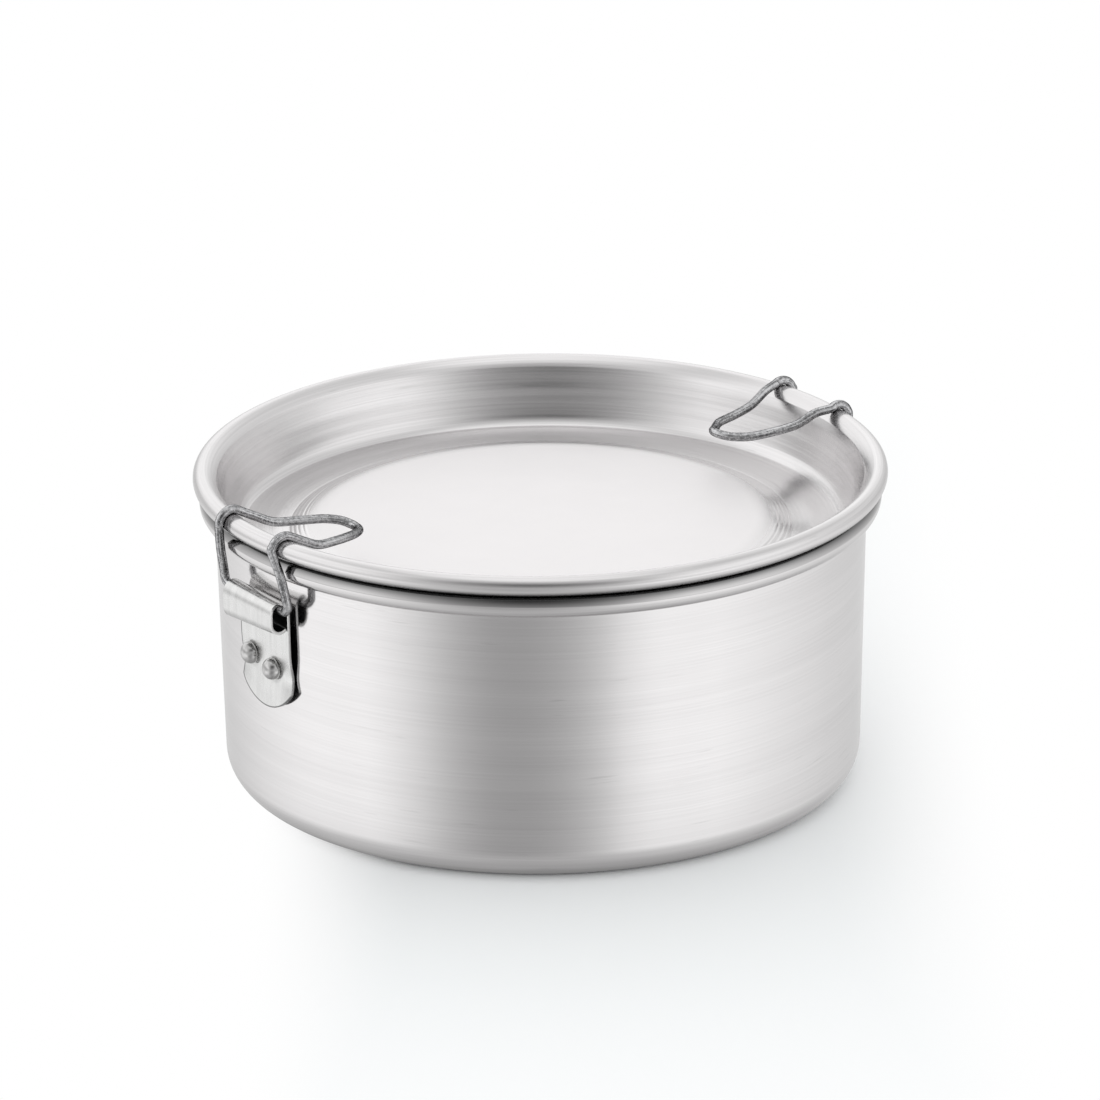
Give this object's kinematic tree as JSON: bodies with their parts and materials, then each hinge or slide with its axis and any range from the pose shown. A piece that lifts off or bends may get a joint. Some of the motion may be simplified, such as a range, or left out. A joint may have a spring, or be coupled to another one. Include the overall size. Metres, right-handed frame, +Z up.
{
  "type": "lunch box",
  "caption": "Round spun-aluminium lunch box: a rolled-rim pot, a dished lid that plugs into its mouth, and spring-wire bail clips hinged in riveted sheet brackets.",
  "frame": {"origin": "middle of the pot's flat underside, on the surface that the box stands on", "axes": "+Z up through the lid; the two clips lie on the X axis, the left one towards -X and the right one towards +X"},
  "size_m": [0.1972, 0.1934, 0.0937],
  "materials": {
    "spun_aluminium": "satin spun aluminium with fine circular lines",
    "tinplate": "bright tin-plated steel sheet",
    "rivet_aluminium": "smooth pressed dome",
    "galvanised_wire": "dull mottled zinc on spring-steel wire"
  },
  "bodies": {
    "pot": {"pot_body": "spun_aluminium", "bracket_left": "tinplate", "bracket_right": "tinplate", "rivet_left_front": "rivet_aluminium", "rivet_left_rear": "rivet_aluminium", "rivet_right_front": "rivet_aluminium", "rivet_right_rear": "rivet_aluminium"},
    "lid": {"lid": "spun_aluminium"},
    "left_bail": {"bail_left": "galvanised_wire"},
    "right_bail": {"bail_right": "galvanised_wire"}
  },
  "joints": [
    {"name": "lid_lift", "type": "slide", "parent": "pot", "child": "lid", "axis": [0, 0, 1], "range_m": [0, 0.016]},
    {"name": "left_bail_swing", "type": "hinge", "parent": "pot", "child": "left_bail", "pos_m": [-0.09418, 0, 0.0702], "axis": [0, -1, 0], "range_deg": [0, 180]},
    {"name": "right_bail_swing", "type": "hinge", "parent": "pot", "child": "right_bail", "pos_m": [0.09418, 0, 0.0702], "axis": [0, 1, 0], "range_deg": [0, 180]}
  ],
  "couplings": [
    {"joint": "left_bail_swing", "follows": "lid_lift", "rad_per_m": 196.35},
    {"joint": "right_bail_swing", "follows": "lid_lift", "rad_per_m": 196.35}
  ]
}
